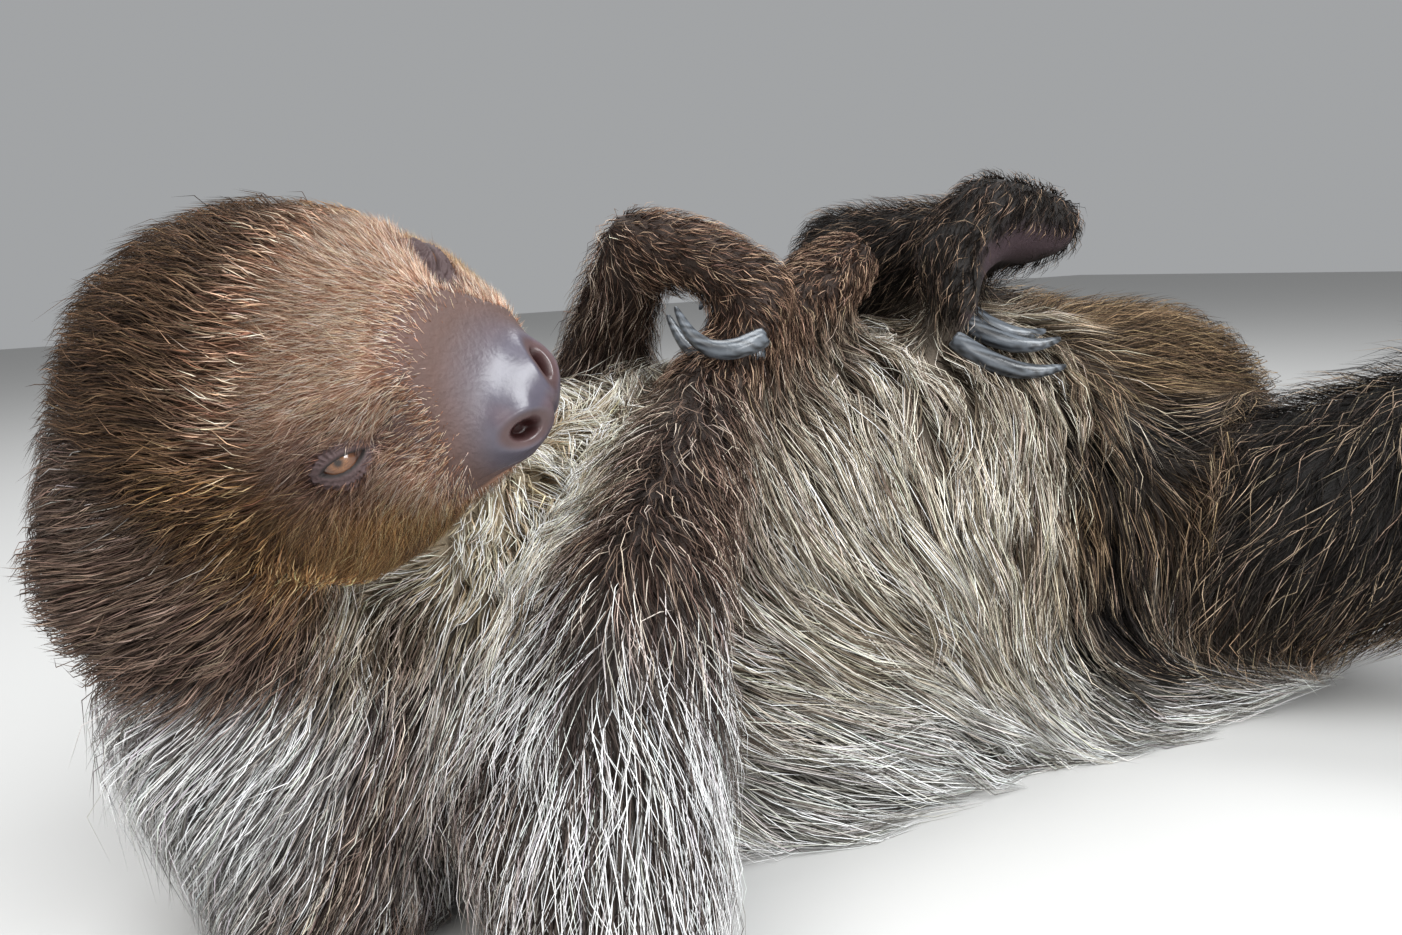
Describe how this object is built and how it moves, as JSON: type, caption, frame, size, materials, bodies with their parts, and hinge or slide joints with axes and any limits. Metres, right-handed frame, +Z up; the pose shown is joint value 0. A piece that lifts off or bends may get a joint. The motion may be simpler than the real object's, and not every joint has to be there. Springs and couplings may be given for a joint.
{
  "type": "two-toed sloth",
  "caption": "Life-size still model of a two-toed sloth lying on its back, head rolled to its right, arms folded over the chest, a hind foot held up on the belly and the other leg stretched out.",
  "frame": {"origin": "centre of the model's box, on the floor under its back", "axes": "+X along the spine from the head towards the rump, +Y to the animal's left, +Z up, which is the way its belly faces"},
  "size_m": [0.6674, 0.4252, 0.2143],
  "materials": {
    "crown_coat": "matte",
    "pale_coat": "matte",
    "limb_coat": "matte",
    "nose_skin": "satin",
    "eye": "gloss",
    "claw": "gloss"
  },
  "bodies": {
    "root": {"belly": "pale_coat", "chest": "pale_coat", "claw_foot_left_1": "claw", "claw_foot_left_2": "claw", "claw_foot_left_3": "claw", "claw_foot_right_1": "claw", "claw_foot_right_2": "claw", "claw_foot_right_3": "claw", "claw_hand_left_1": "claw", "claw_hand_left_2": "claw", "claw_hand_right_1": "claw", "claw_hand_right_2": "claw", "eye_left": "eye", "eye_right": "eye", "foot_left": "limb_coat", "foot_right": "limb_coat", "forearm_left": "limb_coat", "forearm_right": "limb_coat", "hand_left": "limb_coat", "hand_right": "limb_coat", "head": "crown_coat", "neck": "pale_coat", "nose": "nose_skin", "rump": "pale_coat", "shin_left": "limb_coat", "shin_right": "limb_coat", "thigh_left": "limb_coat", "thigh_right": "limb_coat", "upper_arm_left": "limb_coat", "upper_arm_right": "limb_coat"}
  },
  "joints": []
}
